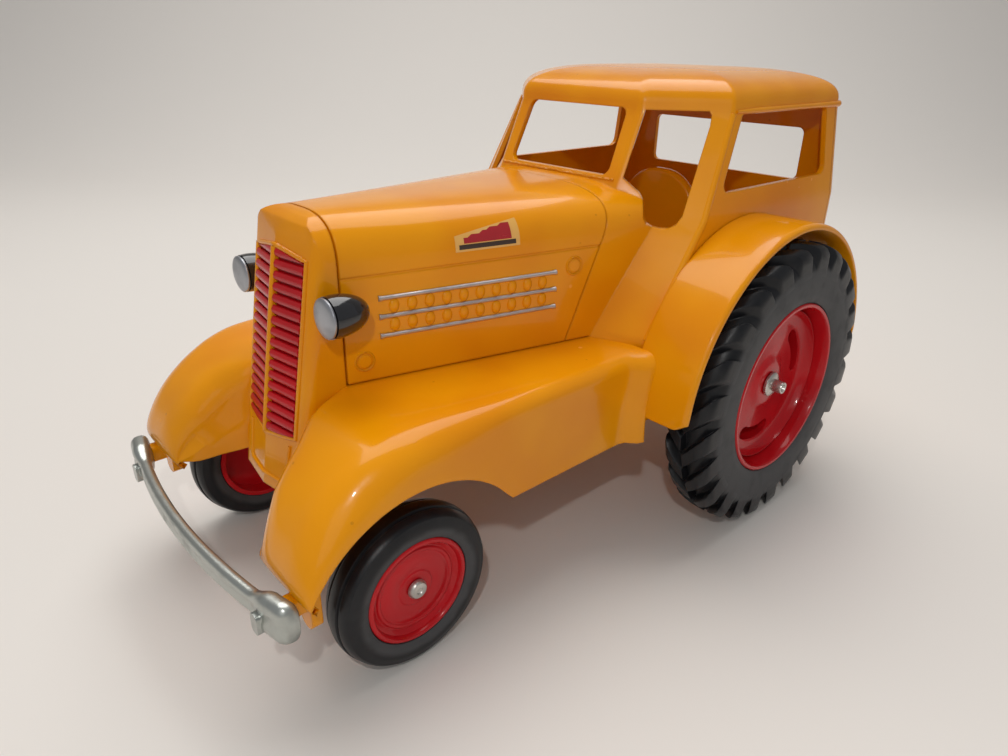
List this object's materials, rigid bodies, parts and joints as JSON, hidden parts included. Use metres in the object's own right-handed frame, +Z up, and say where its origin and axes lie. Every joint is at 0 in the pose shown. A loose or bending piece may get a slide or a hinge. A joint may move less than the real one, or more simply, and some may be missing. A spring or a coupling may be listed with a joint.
{
  "type": "toy tractor",
  "caption": "Toy tractor with a streamlined closed cab, long tapering hood, full front fenders with running boards and free-turning rubber-tyred wheels.",
  "frame": {"origin": "on the floor, under the middle of the box around the whole toy", "axes": "+X to the toy's left, -Y forward, +Z up"},
  "size_m": [0.1426, 0.227, 0.1383],
  "materials": {
    "yellow_enamel": "glossy orange-yellow enamel",
    "red_enamel": "satin red enamel",
    "tyre": "semi-matt black rubber",
    "lamp_body": "glossy black",
    "lens": "silver paint",
    "bumper": "dull cast silver plating",
    "axle_steel": "zinc-plated steel"
  },
  "bodies": {
    "body": {"bumper": "bumper", "bumper_bracket_left": "yellow_enamel", "bumper_bracket_right": "yellow_enamel", "cab_floor": "yellow_enamel", "cab_front": "yellow_enamel", "cab_rear_wall": "yellow_enamel", "cab_side_left": "yellow_enamel", "cab_side_right": "yellow_enamel", "cowl": "yellow_enamel", "drawbar": "yellow_enamel", "front_axle": "axle_steel", "front_fender_left": "yellow_enamel", "front_fender_right": "yellow_enamel", "grille_left": "red_enamel", "grille_right": "red_enamel", "headlight_left": "lamp_body", "headlight_lens_left": "lens", "headlight_lens_right": "lens", "headlight_right": "lamp_body", "headlight_stalk_left": "yellow_enamel", "headlight_stalk_right": "yellow_enamel", "hood": "yellow_enamel", "nose_shell": "yellow_enamel", "rear_axle": "axle_steel", "rear_fender_left": "yellow_enamel", "rear_fender_right": "yellow_enamel", "roof": "yellow_enamel", "seat": "yellow_enamel", "steering_column": "yellow_enamel", "steering_wheel": "yellow_enamel", "underframe": "yellow_enamel"},
    "front_left_wheel": {"front_left_rim": "red_enamel", "front_left_tyre": "tyre"},
    "front_right_wheel": {"front_right_rim": "red_enamel", "front_right_tyre": "tyre"},
    "rear_left_wheel": {"rear_left_rim": "red_enamel", "rear_left_tyre": "tyre"},
    "rear_right_wheel": {"rear_right_rim": "red_enamel", "rear_right_tyre": "tyre"}
  },
  "joints": [
    {"name": "front_left_wheel_spin", "type": "hinge", "parent": "body", "child": "front_left_wheel", "pos_m": [0.0423, -0.0733, 0.0218], "axis": [1, 0, 0], "continuous": true},
    {"name": "front_right_wheel_spin", "type": "hinge", "parent": "body", "child": "front_right_wheel", "pos_m": [-0.0423, -0.0733, 0.0218], "axis": [1, 0, 0], "continuous": true},
    {"name": "rear_left_wheel_spin", "type": "hinge", "parent": "body", "child": "rear_left_wheel", "pos_m": [0.0638, 0.0528, 0.046], "axis": [1, 0, 0], "continuous": true},
    {"name": "rear_right_wheel_spin", "type": "hinge", "parent": "body", "child": "rear_right_wheel", "pos_m": [-0.0638, 0.0528, 0.046], "axis": [1, 0, 0], "continuous": true}
  ]
}
